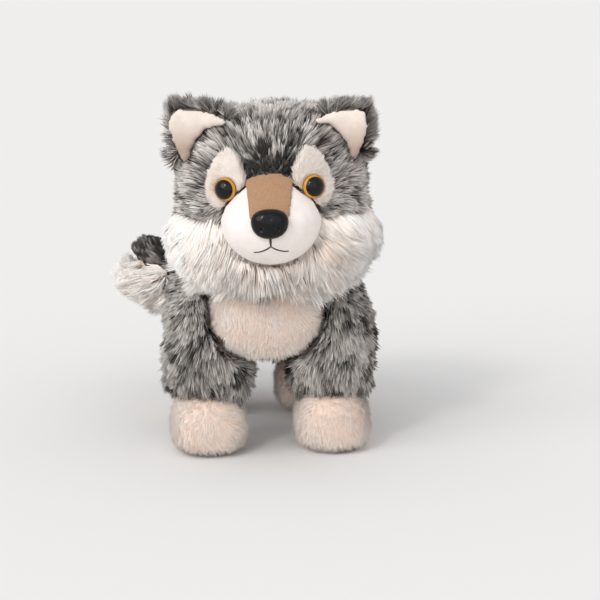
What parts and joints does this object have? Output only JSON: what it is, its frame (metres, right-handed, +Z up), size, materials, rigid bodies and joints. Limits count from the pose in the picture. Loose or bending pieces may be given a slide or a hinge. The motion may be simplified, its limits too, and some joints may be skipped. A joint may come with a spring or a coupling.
{
  "type": "plush wolf",
  "caption": "Standing plush wolf cub with a long-pile ruff, domed chest panel, moulded eyes and nose, and a bushy tail; rests on flat soles.",
  "frame": {"origin": "on the floor under the middle of the whole toy's box", "axes": "+Z up, the wolf faces -Y, +X to its left"},
  "size_m": [0.182, 0.3018, 0.2466],
  "materials": {
    "grey_pile": "long plush pile, dark with light tips",
    "white_pile": "very long plush pile",
    "short_white": "short velboa pile",
    "peach_pile": "short plush pile",
    "cream_pile": "medium plush pile",
    "brown_pile": "short velboa pile",
    "dark_pile": "long plush pile",
    "ear_lining": "short velboa pile",
    "black_plastic": "polished moulding",
    "eye_plastic": "polished clear moulding, amber ring and black pupil",
    "washer_plastic": "plain moulding",
    "thread": "embroidery thread"
  },
  "bodies": {
    "root": {"torso": "grey_pile", "chest_panel": "peach_pile", "head": "grey_pile", "ruff": "white_pile", "muzzle": "short_white", "nose_bridge": "brown_pile", "nose": "black_plastic", "nose_washer": "washer_plastic", "mouth_stitch": "thread", "eye_left": "eye_plastic", "eye_right": "eye_plastic", "eye_washer_left": "washer_plastic", "eye_washer_right": "washer_plastic", "eye_patch_left": "cream_pile", "eye_patch_right": "cream_pile", "ear_left": "grey_pile", "ear_right": "grey_pile", "ear_lining_left": "ear_lining", "ear_lining_right": "ear_lining", "front_leg_left": "grey_pile", "front_leg_right": "grey_pile", "hind_leg_left": "grey_pile", "hind_leg_right": "grey_pile", "front_paw_left": "peach_pile", "front_paw_right": "peach_pile", "hind_paw_left": "peach_pile", "hind_paw_right": "peach_pile", "tail_top": "dark_pile", "tail_underside": "cream_pile"}
  },
  "joints": []
}
